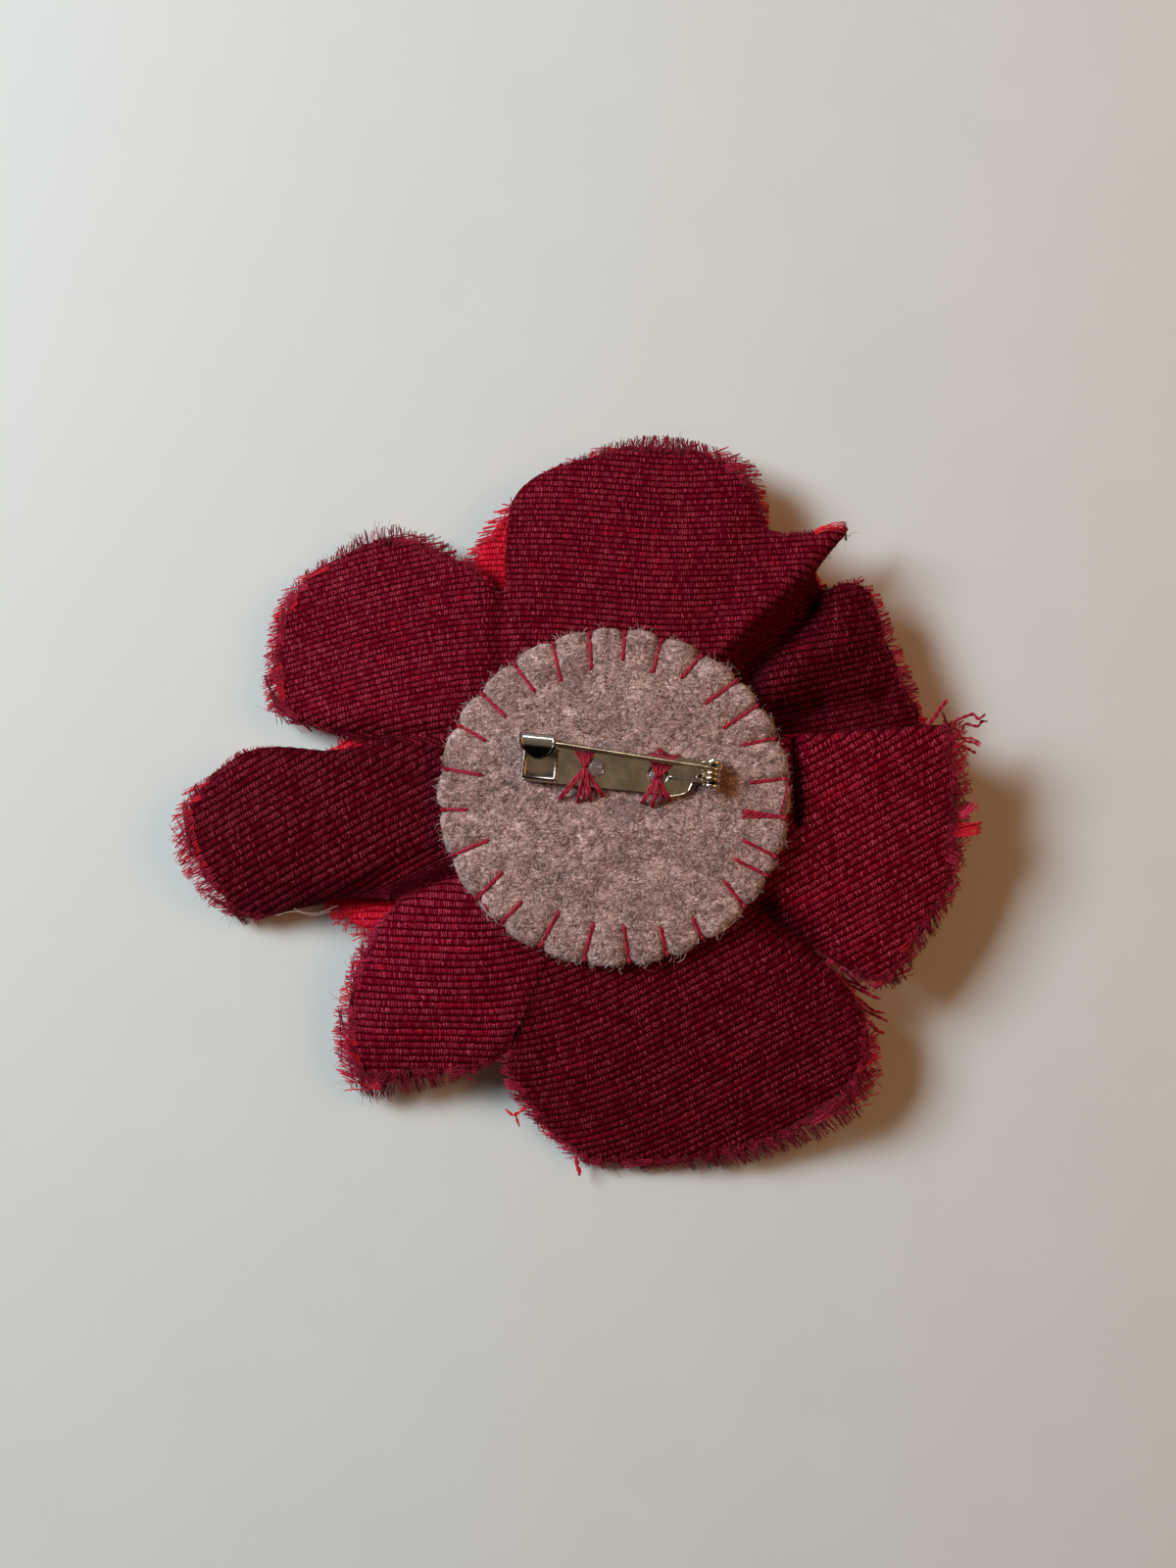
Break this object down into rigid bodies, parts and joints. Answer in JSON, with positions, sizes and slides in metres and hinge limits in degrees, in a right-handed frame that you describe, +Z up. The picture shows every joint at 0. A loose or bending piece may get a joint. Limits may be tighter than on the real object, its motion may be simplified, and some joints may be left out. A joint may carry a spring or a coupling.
{
  "type": "flower brooch",
  "caption": "Flower-shaped cloth brooch with pleated petals, a padded centre, a round felt backing and a hinged bar pin held in a rolled catch.",
  "frame": {"origin": "middle of the outline, on the surface that the brooch lies on, face down", "axes": "+X along the longer side, towards the pin's hinge; +Z up from the surface, out of the pin side"},
  "size_m": [0.1028, 0.0966, 0.0216],
  "materials": {
    "double_cloth": "ribbed woven double cloth, burgundy on the back and bright red on the front, with frayed cut edges",
    "red_cloth": "bright red woven face",
    "centre_cloth": "ribbed burgundy cloth drawn over padding",
    "felt": "grey-brown mottled wool felt with crimson blanket stitches",
    "clear_glue": "clear hot-melt glue",
    "plated_steel": "nickel plated, scratched and slightly dulled",
    "pin_steel": "drawn spring wire with a warm sheen"
  },
  "bodies": {
    "flower": {"back_petals": "double_cloth", "front_petals": "red_cloth", "centre": "centre_cloth", "felt_disc": "felt", "glue": "clear_glue", "pin_plate": "plated_steel", "rivet": "plated_steel", "spring_tail": "pin_steel"},
    "pin": {"pin_wire": "pin_steel"}
  },
  "joints": [
    {"name": "pin_open", "type": "hinge", "parent": "flower", "child": "pin", "pos_m": [0.01849, 0.004, 0.02032], "axis": [0.0976, 0.9952, 0], "range_deg": [0, 60]}
  ]
}
